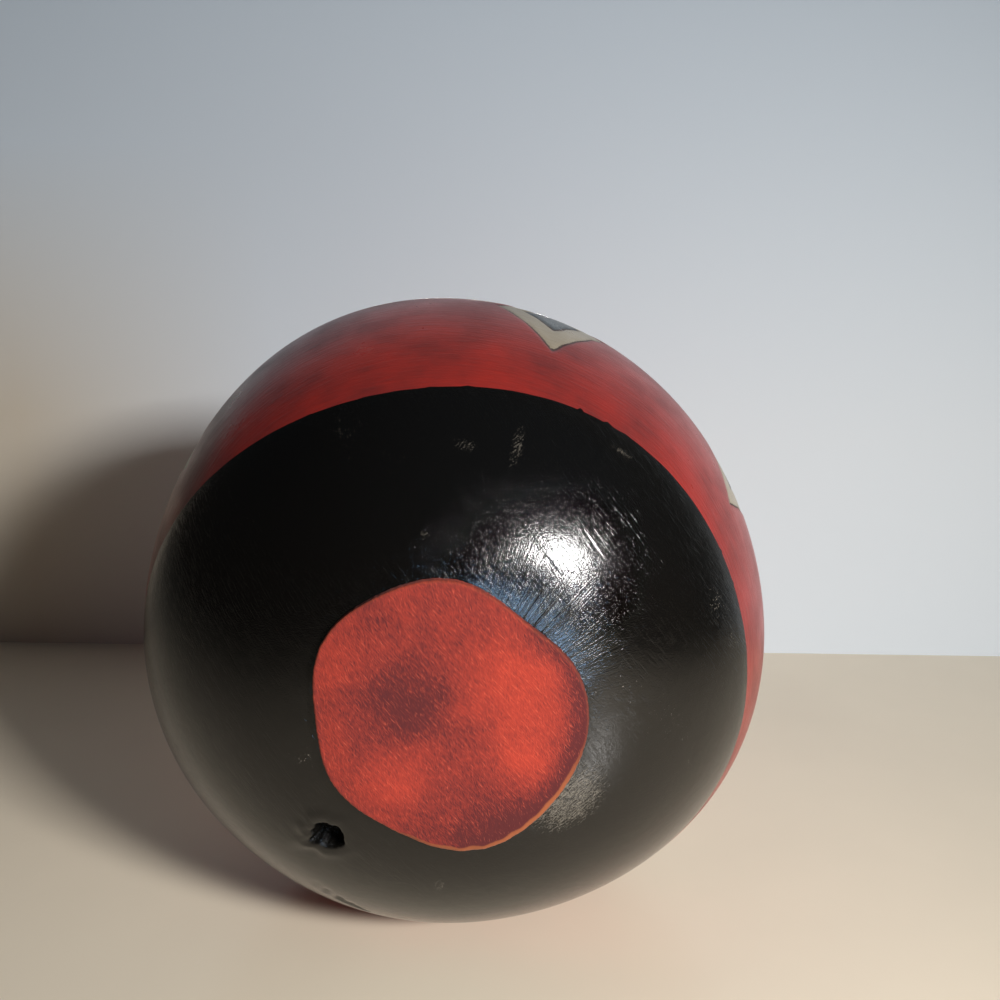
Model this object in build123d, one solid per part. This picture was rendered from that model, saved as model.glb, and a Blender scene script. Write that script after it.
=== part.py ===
from build123d import *

import math
import os

# Carved gourd lying on its flank. Millimetres, +Z up.
# The gourd's own axis runs along Y: base pad towards -Y, stem towards +Y.
# The origin is on the floor, under the middle of the whole gourd's box.
# Angles round the axis are in degrees from +X towards +Z.
# Latitudes are in degrees: -90 at the base's flat, 0 at the widest section, 90 at the stem seat.

# Rind: the hollow body
body_radius = 100.0
shoulder_height = 97.0
seat_depth = 88.5
base_flat_radius = 24.0        # the level middle of the base, which the gourd can stand on
fullness = 1.04                # 1 gives elliptical flanks, more draws them in towards a cone
rind_wall = 6.0
lobes = [(2, 0.7, -46.0), (3, 1.45, -24.5), (5, 0.45, -26.0)]  # count, height, angle of a crest
ground_spot_depth = 1.0        # how deep the resting place on the flank is worn flat

# Neck: the low rise that carries the stem
neck_radius = 11.5
neck_rise = 8.0
neck_spread = 15.0

# Blemish: a shallow pit on the flank near the base
pit_latitude_angle = -70.0
pit_angle = 227.0
pit_radius = 4.8
pit_depth = 4.0

# Base pad: a hand-cut suede disc, glued on so that it follows the rind
pad_radius = 35.3
pad_thickness = 2.2
pad_bevel = 0.5                # how far the rim of the outer face is pared off
pad_waves = [                  # count, height, angle of a crest, as for the lobes
    (1, 0.75, -125.6),
    (2, 1.85, -56.4),
    (3, 0.57, 11.4),
    (4, 0.62, 12.7),
    (5, 0.63, 3.2),
    (6, 0.46, 29.9),
]
glue_thickness = 0.3
glue_inset = 1.5

# Stem: dried, ribbed and twisted, cut off square
stem_length = 42.0
stem_foot_inset = 0.8
stem_waist_radius = 6.2
stem_tip_radius = 7.6
stem_flare_length = 10.5       # how soon the foot draws in to the waist
stem_ribs = 5
stem_rib_height = 0.9
stem_twist_angle = 55.0
stem_lean = 24.0               # how far the tip turns up from the gourd's axis, in degrees

# Seeds and dried pulp, lying loose on the low side of the hollow
seed_length = 14.5
seed_width = 7.6
seed_tip_width = 4.8
seed_thickness = 2.8
seed_edge = 0.7
seed_gap = 1.0
seed_count = 16
pulp_radius = 21.0
pulp_lift = 8.0                # height of the pulp ball's middle over the wall that it lies on
rest_gap = 0.3
low_side_angle = 270.0         # angle round the axis of the flank that lies on the floor

# How finely the smooth forms are drawn
section_point_count = 24
pad_point_count = 36
rib_point_count = 6
stem_sections = 8

# Sunflower layout of the seeds: the turn from one to the next, and the closest pair at unit pitch
golden_angle = 137.5
closest_pair_ratio = 1.66

# Sizes that follow from the ones above
stem_foot_radius = neck_radius - stem_foot_inset
stem_seat = shoulder_height + neck_rise
seed_pitch = (seed_length + seed_gap) / closest_pair_ratio
first_seed = math.ceil(((pulp_radius + seed_length / 2 + seed_gap) / seed_pitch) ** 2)


def waves(pattern, angle):
    """Sum of cosine waves round the axis, each with a count, a height and the angle of one crest."""
    return sum(height * math.cos(math.radians(count * (angle - crest))) for count, height, crest in pattern)


def closed_outline(reach, points):
    """Face on XY inside a smooth closed curve, whose reach is a function of the angle in degrees."""
    corners = []
    for step in range(points):
        angle = 360.0 * step / points
        corners.append(Vector(reach(angle), 0).rotate(Axis.Z, angle))
    return make_face(Spline(*corners, periodic=True))


def rind_profile(latitude):
    """Radius and place along the axis of the rind's outside, without its lobes."""
    swing = math.cos(math.radians(latitude)) ** fullness
    rise = math.sin(math.radians(abs(latitude))) ** fullness
    if latitude < 0:
        return base_flat_radius + (body_radius - base_flat_radius) * swing, -seat_depth * rise
    radius = neck_radius + (body_radius - neck_radius) * swing
    neck = neck_rise * math.exp(-(((radius - neck_radius) / neck_spread) ** 2))
    return radius, shoulder_height * rise + neck


def inset_profile(latitude, depth):
    """The rind's profile moved in by a depth, square to itself."""
    step = 0.5
    radius_before, along_before = rind_profile(max(latitude - step, -90.0))
    radius_after, along_after = rind_profile(min(latitude + step, 90.0))
    outwards = radius_after - radius_before
    upwards = along_after - along_before
    run = math.hypot(outwards, upwards)
    radius, along = rind_profile(latitude)
    return radius - depth * upwards / run, along + depth * outwards / run


def lobed_reach(radius, latitude, angle):
    """Distance from the axis with the lobes, which fade out towards both seats."""
    return radius + math.cos(math.radians(latitude)) * waves(lobes, angle)


def rind_point(latitude, angle, depth):
    """Point of the rind at a depth below its outside."""
    radius, along = inset_profile(latitude, depth)
    turn = math.radians(angle)
    reach = lobed_reach(radius, latitude, angle)
    return Vector(reach * math.cos(turn), along, reach * math.sin(turn))


def rind_body(depth):
    """Closed body whose skin lies a depth below the rind's outside: a loft through its sections."""
    sections = []
    for latitude in [*range(-90, 60, 15), *range(60, 91, 6)]:
        radius, along = inset_profile(latitude, depth)
        plane = Plane(origin=(0, along, 0), x_dir=(1, 0, 0), z_dir=(0, -1, 0))
        outline = closed_outline(lambda angle: lobed_reach(radius, latitude, angle), section_point_count)
        sections.append(plane * outline)
    return loft(sections)


def rind_plane(latitude, angle, depth):
    """Plane on the rind at a depth: X towards the stem, Z into the hollow."""
    step = 0.5
    here = rind_point(latitude, angle, depth)
    stemwards = rind_point(latitude + step, angle, depth) - here
    roundwards = rind_point(latitude, angle + step, depth) - here
    return Plane(origin=here, x_dir=stemwards, z_dir=roundwards.cross(stemwards))


def widest_section():
    """Points round the rind's outside where it is widest."""
    return [rind_point(0, angle, 0) for angle in range(360)]


def floor_level():
    """Height of the floor from the gourd's axis: the lowest flank, less what is worn off it."""
    return min(point.Z for point in widest_section()) + ground_spot_depth


def make_shell():
    """Hollow rind, with its resting place worn flat and the pit in its flank."""
    shell = rind_body(0) - rind_body(rind_wall)
    clear_width = 3 * body_radius
    below = Box(clear_width, clear_width, body_radius, align=(Align.CENTER, Align.CENTER, Align.MAX))
    ball_radius = (pit_radius ** 2 + pit_depth ** 2) / (2 * pit_depth)
    ball = Pos(0, 0, -ball_radius) * Sphere(ball_radius)
    pit = rind_plane(pit_latitude_angle, pit_angle, pit_depth) * ball
    return shell - Pos(0, 0, floor_level()) * below - pit


def pad_layer(inset, lift, thickness):
    """Layer on the rind's base, at a lift over it, with the pad's hand-cut outline drawn in by an inset."""
    plane = Plane(origin=(0, -seat_depth / 2, 0), x_dir=(1, 0, 0), z_dir=(0, -1, 0))
    reach = pad_radius - inset
    outline = closed_outline(lambda angle: reach + waves(pad_waves, angle), pad_point_count)
    cutter = extrude(plane * outline, seat_depth)
    return (rind_body(-lift - thickness) & cutter) - rind_body(-lift)


def make_pad():
    """Suede disc on top of the glue, with the rim of its outer face pared off."""
    disc = pad_layer(0, glue_thickness, pad_thickness)
    rims = disc.edges().sort_by(SortBy.LENGTH)[-2:]
    return chamfer(rims.sort_by(Axis.Y)[0], pad_bevel)


def make_stem():
    """Ribbed stem: a loft whose sections follow a curve that turns up, and turn as they go."""
    bend_radius = stem_length / math.radians(stem_lean)
    sections = []
    for step in range(stem_sections + 1):
        share = step / stem_sections
        lean = math.radians(stem_lean * share)
        middle = (0, stem_seat + bend_radius * math.sin(lean), bend_radius * (1 - math.cos(lean)))
        plane = Plane(origin=middle, x_dir=(1, 0, 0), z_dir=(0, math.cos(lean), math.sin(lean)))
        radius = stem_waist_radius + (stem_tip_radius - stem_waist_radius) * share ** 2
        flare = math.exp(-((stem_length * share / stem_flare_length) ** 2))
        radius += (stem_foot_radius - stem_rib_height - stem_waist_radius) * flare
        ribs = [(stem_ribs, stem_rib_height, stem_twist_angle * share)]
        outline = closed_outline(lambda angle: radius + waves(ribs, angle), rib_point_count * stem_ribs)
        sections.append(plane * outline)
    return loft(sections)


def make_seed():
    """One flat seed, wide at one end, lying on XY with its edges taken off."""
    outline = make_hull([
        *(Pos((seed_width - seed_length) / 2, 0) * Circle(seed_width / 2)).edges(),
        *(Pos((seed_length - seed_tip_width) / 2, 0) * Circle(seed_tip_width / 2)).edges(),
    ])
    seed = extrude(outline, seed_thickness)
    rims = seed.edges().group_by(Axis.Z)
    return chamfer(rims[0] + rims[-1], seed_edge)


def make_seeds():
    """Seeds strewn round the pulp in a sunflower layout, each flat on the wall of the hollow."""
    seed = make_seed()
    hollow_radius = body_radius - rind_wall
    sag = (seed_length / 2) ** 2 / (2 * hollow_radius)
    seeds = []
    for number in range(first_seed, first_seed + seed_count):
        distance = math.degrees(seed_pitch * math.sqrt(number) / hollow_radius)
        bearing = math.radians(golden_angle * number)
        latitude = distance * math.cos(bearing)
        angle = low_side_angle + distance * math.sin(bearing)
        place = rind_plane(latitude, angle, rind_wall)
        seeds.append(place * Pos(0, 0, rest_gap + sag) * Rot(0, 0, golden_angle * number) * seed)
    return Compound(children=seeds)


def make_pulp():
    """Clump of dried pulp: a ball that has settled against the wall of the hollow."""
    place = rind_plane(0, low_side_angle, rind_wall)
    return place * Pos(0, 0, pulp_lift) * Sphere(pulp_radius) & rind_body(rind_wall + rest_gap)


def origin_point(pad_face, stem_tip):
    """Point on the floor under the middle of the whole gourd, seen from above."""
    across = [point.X for point in widest_section()]
    return Vector((min(across) + max(across)) / 2, (stem_tip - pad_face) / 2, floor_level())


def main():
    pieces = {
        "gourd_shell": make_shell(),
        "stem": make_stem(),
        "pad_adhesive": pad_layer(glue_inset, 0, glue_thickness),
        "base_pad": make_pad(),
        "seeds": make_seeds(),
        "dried_pulp": make_pulp(),
    }
    stem_tip = pieces["stem"].bounding_box().max.Y
    to_origin = Pos(-origin_point(seat_depth + glue_thickness + pad_thickness, stem_tip))
    os.makedirs("parts", exist_ok=True)
    for name, piece in pieces.items():
        export_step(to_origin * piece, f"parts/{name}.step")


main()
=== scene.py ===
"""Carved gourd lying on its flank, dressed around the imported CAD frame.

The file is laid out as an add-on and is run as a script. Its operators build the gourd's pieces,
give the hidden pieces their materials, and set up the stage. All lengths are in metres.
"""

import math

import bpy
import numpy as np
from bpy.props import FloatProperty, FloatVectorProperty, IntProperty, PointerProperty
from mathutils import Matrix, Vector


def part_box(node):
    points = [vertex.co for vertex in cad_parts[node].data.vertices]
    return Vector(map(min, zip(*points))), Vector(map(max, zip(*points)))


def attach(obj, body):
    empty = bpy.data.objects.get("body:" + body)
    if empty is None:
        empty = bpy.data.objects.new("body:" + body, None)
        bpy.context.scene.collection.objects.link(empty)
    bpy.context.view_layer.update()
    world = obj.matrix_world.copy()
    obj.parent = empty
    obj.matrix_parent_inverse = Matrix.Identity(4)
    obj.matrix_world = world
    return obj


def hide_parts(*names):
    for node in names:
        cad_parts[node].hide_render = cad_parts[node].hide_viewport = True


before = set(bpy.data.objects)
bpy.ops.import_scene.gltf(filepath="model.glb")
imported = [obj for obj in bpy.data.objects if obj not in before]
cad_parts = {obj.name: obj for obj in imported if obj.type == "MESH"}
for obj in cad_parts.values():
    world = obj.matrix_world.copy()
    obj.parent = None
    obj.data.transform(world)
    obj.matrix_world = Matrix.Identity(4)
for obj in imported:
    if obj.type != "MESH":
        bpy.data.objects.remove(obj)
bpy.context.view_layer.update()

bl_info = {
    "name": "Carved gourd",
    "version": (1, 0, 0),
    "blender": (4, 5, 0),
    "location": "View3D > Sidebar > Gourd",
    "description": "Builds the visual pieces, finishes and stage of a carved gourd",
    "category": "Object",
}

MM = 0.001

# Waves round the gourd's axis: count, height, and the angle of one crest in degrees from +X towards +Z
BODY_LOBES = [(2, 0.7 * MM, -46), (3, 1.45 * MM, -24.5), (5, 0.45 * MM, -26)]
PAD_WAVES = [
    (1, 0.75 * MM, -125.6), (2, 1.85 * MM, -56.4), (3, 0.57 * MM, 11.4),
    (4, 0.62 * MM, 12.7), (5, 0.63 * MM, 3.2), (6, 0.46 * MM, 29.9),
]

# Places where the suede's nap is brushed up or down: across and up from the middle, radius, and share of nap
NAP_PLACES = [
    (-17 * MM, 5 * MM, 13 * MM, -0.35), (-5 * MM, 3 * MM, 10 * MM, -0.2), (4 * MM, -28 * MM, 12 * MM, -0.25),
    (18 * MM, 12 * MM, 14 * MM, 0.45), (20 * MM, -9 * MM, 9 * MM, 0.5), (-27 * MM, 15 * MM, 9 * MM, 0.3),
    (-15 * MM, -17 * MM, 9 * MM, 0.3), (17 * MM, -24 * MM, 7 * MM, -0.3),
]

# Edge of the lacquer as a latitude in degrees: a mean, and waves round the axis as above
LACQUER_LATITUDE = -32.3
LACQUER_WAVES = [(1, 9.8, -139.4), (2, 5.73, 16.8), (3, 1.89, -49.8)]

# Painted sheen on the lacquer, drawn as grey patches: a painted reflection of the lit table below the pad, and small
# painted glints along drips and a scratch near the highlight. Each has latitude and angle in degrees, half width and
# height, and weight
PAINTED_SHEEN_PLACES = [
    (-78, 322, 15 * MM, 11 * MM, 0.85),
    (-53.5, 75.2, 2 * MM, 10 * MM, 0.4),
    (-55.1, 86.5, 4 * MM, 2.5 * MM, 0.35),
    (-43.3, 53.8, 5 * MM, 2 * MM, 0.45),
    (-67, 266, 2.5 * MM, 5 * MM, 0.35),
    (-72.1, 97.2, 0.9 * MM, 2.6 * MM, 0.6),
]

# Long scratches in the lacquer: place from the axis across and up, slant in degrees, half length;
# then their half width and depth, which are drawn larger than real so that they show
LONG_SCRATCHES = [
    (24 * MM, 40.7 * MM, 57, 9 * MM),
    (26.3 * MM, 38 * MM, 55, 3.6 * MM),
    (36.6 * MM, 42.4 * MM, 55, 5.5 * MM),
]
SCRATCH_WIDTH, SCRATCH_DEPTH = 0.45 * MM, 0.1 * MM

# Angles of the carved lozenges: pairs that repeat three times round the body
LOZENGE_ANGLES = np.radians([27, 72, 147, 192, 267, 312])

# The pit below the pad: latitude and angle in degrees, mean radius, depth, and height of its puckered rim
PIT_PLACE = (-69.8, 227.6)
PIT_RADIUS, PIT_DEPTH, PIT_RIM = 4.9 * MM, 4.1 * MM, 0.35 * MM

# Creases near the floor: latitude and angle in degrees, and half length; then their slope, depth and half width
CREASES = [(-47.2, 243, 10 * MM), (-44.4, 247, 7 * MM)]
CREASE_SLOPE, CREASE_DEPTH, CREASE_WIDTH = 0.42, 0.7 * MM, 0.8 * MM

# Swells of the rind, thickness of the lacquer, and how far the field of a lozenge is sunk
SWELL_HEIGHT, LACQUER_THICKNESS, FIELD_DEPTH = 0.05 * MM, 0.1 * MM, 0.25 * MM

# Pit and creases lie round one angle: that angle, and how far they reach on either side
FLAW_ANGLE, FLAW_REACH = math.radians(235), 0.35

# Edges that turn by more than this are left sharp
SHARP_ANGLE = math.radians(50)

# Samples of the rind's profile, and of a weight that packs rows or columns
PROFILE_SAMPLES, WEIGHT_SAMPLES = 3601, 4001

# Rows and columns of the grids
RIND_COLUMNS, BASE_ROWS, BODY_ROWS = 530, 76, 99
INNER_COLUMNS, INNER_ROWS = 72, 33
PAD_COLUMNS, FACE_ROWS, RIM_ROWS, BACK_ROWS = 480, 70, 8, 12
STEM_COLUMNS, STEM_ROWS, STEM_END_ROWS = 240, 110, 14

# Camera: place, tilt upwards and turn to the left in degrees, and focal length on a sensor 36 mm wide
CAMERA_PLACE = (0.00754, -0.3706, 0.21103)
CAMERA_TILT, CAMERA_TURN, CAMERA_LENS = -12.66, -1.109, 38.6


def to_linear(hex_colour):
    """Linear RGB of an sRGB colour written as #rrggbb."""
    values = [int(hex_colour[start:start + 2], 16) / 255 for start in (1, 3, 5)]
    return tuple(v / 12.92 if v <= 0.04045 else ((v + 0.055) / 1.055) ** 2.4 for v in values)


def length(name, description, default):
    """A length that the user may change, in metres."""
    return FloatProperty(name=name, description=description, default=default, min=0.0, unit="LENGTH", precision=4)


def colour(name, description, hex_colour):
    """A colour that the user may change."""
    return FloatVectorProperty(
        name=name, description=description, default=to_linear(hex_colour), size=3, min=0.0, max=1.0, subtype="COLOR"
    )


def turn_angle(name, description, degrees):
    """An angle that the user may change."""
    return FloatProperty(name=name, description=description, default=math.radians(degrees), subtype="ANGLE")


def power(name, description, watts):
    """Power of a lamp that the user may change."""
    return FloatProperty(name=name, description=description, default=watts, min=0.0, unit="POWER")


class GourdRindSettings(bpy.types.PropertyGroup):
    """Sizes and colours of the hollow rind and its carving."""

    body_radius: length("Body radius", "Mean radius of the widest section", 100 * MM)
    shoulder_height: length("Shoulder height", "From the widest section to the shoulder's top", 97 * MM)
    seat_depth: length("Seat depth", "From the widest section to the base's flat", 88.5 * MM)
    seat_radius: length("Seat radius", "Radius of the base's flat", 24 * MM)
    neck_radius: length("Neck radius", "Radius of the flat place under the stem", 11.5 * MM)
    neck_rise: length("Neck rise", "Height of the low rise that carries the stem", 8 * MM)
    neck_spread: length("Neck spread", "How far the low rise spreads", 15 * MM)
    wall: length("Wall", "Thickness of the rind", 6 * MM)
    worn_depth: length("Worn depth", "How deep the resting place is worn flat", 1 * MM)
    fullness: FloatProperty(name="Fullness", description="1 gives elliptical flanks", default=1.04, min=0.5, max=2.0)
    lozenge_half_width: length("Lozenge half width", "Half the width of a carved lozenge", 18 * MM)
    lozenge_half_height: length("Lozenge half height", "Half the height of a carved lozenge", 33 * MM)
    lozenge_distance: length("Lozenge distance", "From the lacquer's edge to a lozenge's middle", 57 * MM)
    groove_width: length("Groove width", "Width of a carved line", 1.1 * MM)
    groove_depth: length("Groove depth", "Depth of a carved line", 0.6 * MM)
    lacquer_colour: colour("Lacquer", "Black lacquer on the base", "#090807")
    # Colour of dust specks, and of the painted reflection and painted glints on the lacquer
    dust_and_sheen_colour: colour("Dust", "Dust and rubbed specks on the lacquer", "#a79f92")
    dye_colour: colour("Dye", "Red dye of the rind", "#8e261f")
    dye_dark_colour: colour("Dark dye", "Dye where it has sunk in", "#561c1b")
    scuff_colour: colour("Scuffs", "Small scuffs in the dye", "#b06a58")
    field_colour: colour("Field", "Pale field of a lozenge", "#978c78")
    core_colour: colour("Core", "Slate core of a lozenge", "#474c4e")
    burnt_colour: colour("Burnt line", "Burnt line round the carving", "#3a2218")
    flesh_colour: colour("Inner wall", "Bare wall of the hollow", "#b99a6b")


class GourdPadSettings(bpy.types.PropertyGroup):
    """Sizes and colours of the suede disc."""

    radius: length("Radius", "Mean radius of the disc", 35.3 * MM)
    thickness: length("Thickness", "Thickness of the leather", 2.2 * MM)
    glue: length("Glue", "Thickness of the glue under it", 0.3 * MM)
    bevel: length("Rim rounding", "How far the rim of the outer face is rounded off", 0.6 * MM)
    nap_colour: colour("Nap", "Suede brushed up", "#b33a25")
    brushed_colour: colour("Brushed nap", "Suede brushed down", "#521817")
    # Painted highlight: colour of single fibres that catch the light
    fibre_glint_colour: colour("Fibres", "Single fibres that catch the light", "#cc6c50")
    edge_colour: colour("Cut edge", "Raw leather at the cut rim", "#93502c")


class GourdStemSettings(bpy.types.PropertyGroup):
    """Sizes and colours of the dried stem."""

    length: length("Length", "Length along the stem", 42 * MM)
    foot_radius: length("Foot radius", "Radius over the ribs at the seat", 10.7 * MM)
    waist_radius: length("Waist radius", "Mean radius of the slimmest part", 6.2 * MM)
    tip_radius: length("Tip radius", "Mean radius at the cut end", 7.6 * MM)
    flare_length: length("Flare length", "How soon the foot draws in", 10.5 * MM)
    rib_height: length("Rib height", "Height of the ribs", 0.9 * MM)
    ribs: IntProperty(name="Ribs", description="Number of ribs", default=5, min=3, max=12)
    twist: turn_angle("Twist", "Turn of the ribs", 55)
    lean: turn_angle("Lean", "Upward turn of the tip", 24)
    bark_colour: colour("Ribs", "Dry skin on the ribs", "#8d7148")
    furrow_colour: colour("Furrows", "Skin in the furrows", "#4c3823")
    cut_colour: colour("Cut end", "Fibres of the cut end", "#c3a878")


class GourdFillingSettings(bpy.types.PropertyGroup):
    """Colours of the pieces that are out of sight."""

    glue_colour: colour("Glue", "Dried glue under the pad", "#c9a160")
    seed_colour: colour("Seeds", "Dry seed coats", "#b99b70")
    seed_dark_colour: colour("Seed stains", "Stains on the seed coats", "#7d6040")
    pulp_colour: colour("Pulp", "Dried pulp", "#d3bf95")
    pulp_dark_colour: colour("Pulp creases", "Creases of the dried pulp", "#97794a")


class GourdStageSettings(bpy.types.PropertyGroup):
    """Floor, wall and light."""

    floor_colour: colour("Floor", "Plain pale floor", "#e7dac4")
    wall_colour: colour("Wall", "Plain pale wall", "#d2dae1")
    # Painted light on the wall: cool high up, warm low on the left
    wall_painted_skylight_colour: colour("Wall top", "Wall high up, towards the sky", "#c6d4e2")
    wall_painted_lamplight_colour: colour("Wall side", "Wall low on the left, in warm lamplight", "#c6bdae")
    wall_place: length("Wall place", "How far the wall stands behind the origin", 193 * MM)
    wall_turn: turn_angle("Wall turn", "Turn of the wall", -3.4)
    key_power: power("Key power", "Power of the window light", 3.4)
    sill_power: power("Sill power", "Power of the low blue light", 1.6)
    back_power: power("Back power", "Power of the light on the far side", 4.0)
    fill: FloatProperty(name="Fill", description="Strength of the light from all round", default=0.06, min=0.0)


def waves(pattern, angle):
    """Sum of cosines of an angle in radians: each has a count, a height and one crest's angle in degrees."""
    return sum(height * np.cos(count * (angle - math.radians(crest))) for count, height, crest in pattern)


def smooth(value, start, end):
    """0 before start, 1 after end, and a cubic with level ends between them."""
    share = np.clip((value - start) / (end - start), 0, 1)
    return share * share * (3 - 2 * share)


def bell(value, width):
    """Gaussian hump that falls to 1/e at a width from the middle."""
    return np.exp(-((value / width) ** 2))


def spread(start, end, count, weight):
    """Samples from start to end, packed in proportion to a weight that is a function of place."""
    fine = np.linspace(start, end, WEIGHT_SAMPLES)
    density = weight(fine)
    share = np.concatenate([[0], np.cumsum((density[1:] + density[:-1]) / 2)])
    return np.interp(np.linspace(0, share[-1], count), share, fine)


def wrapped(angle):
    """Angle brought between -pi and pi."""
    return (angle + np.pi) % (2 * np.pi) - np.pi


def ripple(first, second, wavelength, count, seed):
    """Noise from -1 to 1: a sum of sine waves of about one length, in seeded directions and phases."""
    draw = np.random.default_rng(seed)
    total = np.zeros(np.broadcast(first, second).shape)
    for turn, phase, stretch in draw.uniform([0, 0, 0.7], [np.pi, 2 * np.pi, 1.5], (count, 3)):
        along = first * math.cos(turn) + second * math.sin(turn)
        total += np.sin(2 * np.pi * along * stretch / wavelength + phase)
    return total / count


class Rind:
    """Outside of the rind over two parameters: arc length from the pad's seat, and angle round the axis."""

    def __init__(self, sizes):
        self.sizes = sizes
        self.latitudes = np.linspace(-np.pi / 2, np.pi / 2, PROFILE_SAMPLES)
        radius, along = self.profile(self.latitudes)
        steps = np.hypot(np.diff(radius), np.diff(along))
        self.arcs = np.concatenate([[0], np.cumsum(steps)])
        angle = np.radians(np.arange(360))
        reach = sizes.body_radius + waves(BODY_LOBES, angle)
        across, height = reach * np.cos(angle), reach * np.sin(angle)
        self.centre = np.array([
            -(across.min() + across.max()) / 2,
            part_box("gourd_shell")[0].y + sizes.seat_depth,
            -(height.min() + sizes.worn_depth),
        ])

    def profile(self, latitude):
        """Radius and place along the axis: two superellipse quarters, with a bell-shaped rise at the neck."""
        s = self.sizes
        swing = np.abs(np.cos(latitude)) ** s.fullness
        rise = np.abs(np.sin(latitude)) ** s.fullness
        low_radius = s.seat_radius + (s.body_radius - s.seat_radius) * swing
        high_radius = s.neck_radius + (s.body_radius - s.neck_radius) * swing
        neck = s.neck_rise * bell(high_radius - s.neck_radius, s.neck_spread)
        low = latitude < 0
        along = np.where(low, -s.seat_depth * rise, s.shoulder_height * rise + neck)
        return np.where(low, low_radius, high_radius), along

    def latitude(self, arc):
        """Latitude at an arc length from the pad's seat."""
        return np.interp(arc, self.arcs, self.latitudes)

    def arc(self, latitude):
        """Arc length from the pad's seat at a latitude."""
        return np.interp(latitude, self.latitudes, self.arcs)

    def place(self, arc, angle):
        """Point of the surface: the profile turned round the axis, plus lobes that fade towards both seats."""
        latitude = self.latitude(arc)
        radius, along = self.profile(latitude)
        reach = radius + np.cos(latitude) * waves(BODY_LOBES, angle)
        return np.stack(np.broadcast_arrays(reach * np.cos(angle), along, reach * np.sin(angle)), -1) + self.centre

    def normal(self, arc, angle):
        """Outward unit normal: cross product of the steps along the arc and round the axis."""
        step, turn = 0.2 * MM, 0.002
        ahead = self.place(arc + step, angle) - self.place(arc - step, angle)
        aside = self.place(arc, angle + turn) - self.place(arc, angle - turn)
        normal = np.cross(ahead, aside)
        return normal / np.linalg.norm(normal, axis=-1, keepdims=True)

    def local(self, arc, angle, latitude, middle):
        """Distances round the axis and along the arc from a place given by latitude and angle in degrees."""
        latitude = math.radians(latitude)
        reach = float(self.profile(np.array(latitude))[0])
        return reach * wrapped(angle - math.radians(middle)), arc - self.arc(latitude)

    def over_base(self, reach, angle, lift):
        """Place along the axis of a layer at a lift over the base: the profile moved out square to itself."""
        # Latitudes, in radians, up to one that is well past the pad's rim
        past_pad = -0.5
        base = self.latitudes < past_pad
        latitude = self.latitudes[base]
        radius, along = self.profile(latitude)
        run = np.gradient(self.arcs[base])
        outer_radius = radius + lift * np.gradient(along) / run
        outer_along = along - lift * np.gradient(radius) / run
        lobe = np.cos(np.interp(reach, outer_radius, latitude)) * waves(BODY_LOBES, angle)
        return np.interp(reach - lobe, outer_radius, outer_along) + self.centre[1]

    def lacquer_arc(self, angle):
        """Arc length of the lacquer's edge: a wavy latitude, with a hand's small tremor and nicks."""
        latitude = np.radians(LACQUER_LATITUDE + waves(LACQUER_WAVES, angle))
        cosine, sine = np.cos(angle), np.sin(angle)
        tremor = 0.22 * MM * ripple(cosine, sine, wavelength=0.12, count=9, seed=3)
        nicks = 0.9 * MM * smooth(ripple(cosine, sine, wavelength=0.035, count=6, seed=8), 0.42, 0.8)
        return self.arc(latitude) + tremor + nicks


def tube_faces(rows, columns):
    """Faces of a grid that is closed round its columns, with a fan to a pole at each end. Poles come last."""
    row, column = np.meshgrid(np.arange(rows - 1), np.arange(columns), indexing="ij")
    after = (column + 1) % columns
    quads = np.stack([
        row * columns + column, (row + 1) * columns + column,
        (row + 1) * columns + after, row * columns + after,
    ], -1).reshape(-1, 4)
    column = np.arange(columns)
    after = (column + 1) % columns
    first_pole = np.full(columns, rows * columns)
    top = (rows - 1) * columns
    start = np.stack([column, after, first_pole], -1)
    end = np.stack([top + after, top + column, first_pole + 1], -1)
    return quads, np.concatenate([start, end])


def with_poles(grid):
    """Points of a closed tube's grid, followed by the middles of its first and last rows."""
    poles = np.stack([grid[0].mean(0), grid[-1].mean(0)])
    return np.concatenate([grid.reshape(-1, 3), poles])


def make_piece(context, name, points, faces, materials, node):
    """Mesh object at the origin with smooth faces, riding on the root and standing for a CAD node."""
    mesh = bpy.data.meshes.new(name)
    mesh.from_pydata(points.tolist(), [], faces)
    mesh.polygons.foreach_set("use_smooth", np.ones(len(faces), dtype=bool))
    for material in materials:
        mesh.materials.append(material)
    if mesh.validate():
        raise RuntimeError(f"{name} has faces that are not valid")
    piece = bpy.data.objects.new(name, mesh)
    context.collection.objects.link(piece)
    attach(piece, "root")
    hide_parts(node)
    return piece


def store(piece, name, values, rest):
    """Keep one number per vertex as an attribute that materials can read: the grid's values, then the rest's."""
    attribute = piece.data.attributes.new(name, "FLOAT", "POINT")
    attribute.data.foreach_set("value", np.concatenate([np.ravel(values), rest]).astype(np.float32))


def new_material(name):
    """Material with a node tree of its own, that tree, and the place on the object that its patterns read."""
    material = bpy.data.materials.new(name)
    material.use_nodes = True
    tree = material.node_tree
    tree.nodes.clear()
    return material, tree, add(tree, "TexCoord").outputs["Object"]


def add(tree, kind, sockets=None, **settings):
    """Add one node with its settings, then set each named input, or link it where the value is a node or an output.

    A node stands for its first output in use, and a colour gets full opacity.
    """
    node = tree.nodes.new("ShaderNode" + kind)
    for name, value in settings.items():
        setattr(node, name, value)
    for key, value in (sockets or {}).items():
        socket = node.inputs[key]
        if isinstance(value, bpy.types.Node):
            value = next(output for output in value.outputs if output.enabled)
        if isinstance(value, bpy.types.NodeSocket):
            tree.links.new(value, socket)
        else:
            socket.default_value = (*value, 1.0) if socket.type == "RGBA" else value
    return node


def per(size):
    """Pattern scale at which one feature is about a size in metres."""
    return 1.0 / size


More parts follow.
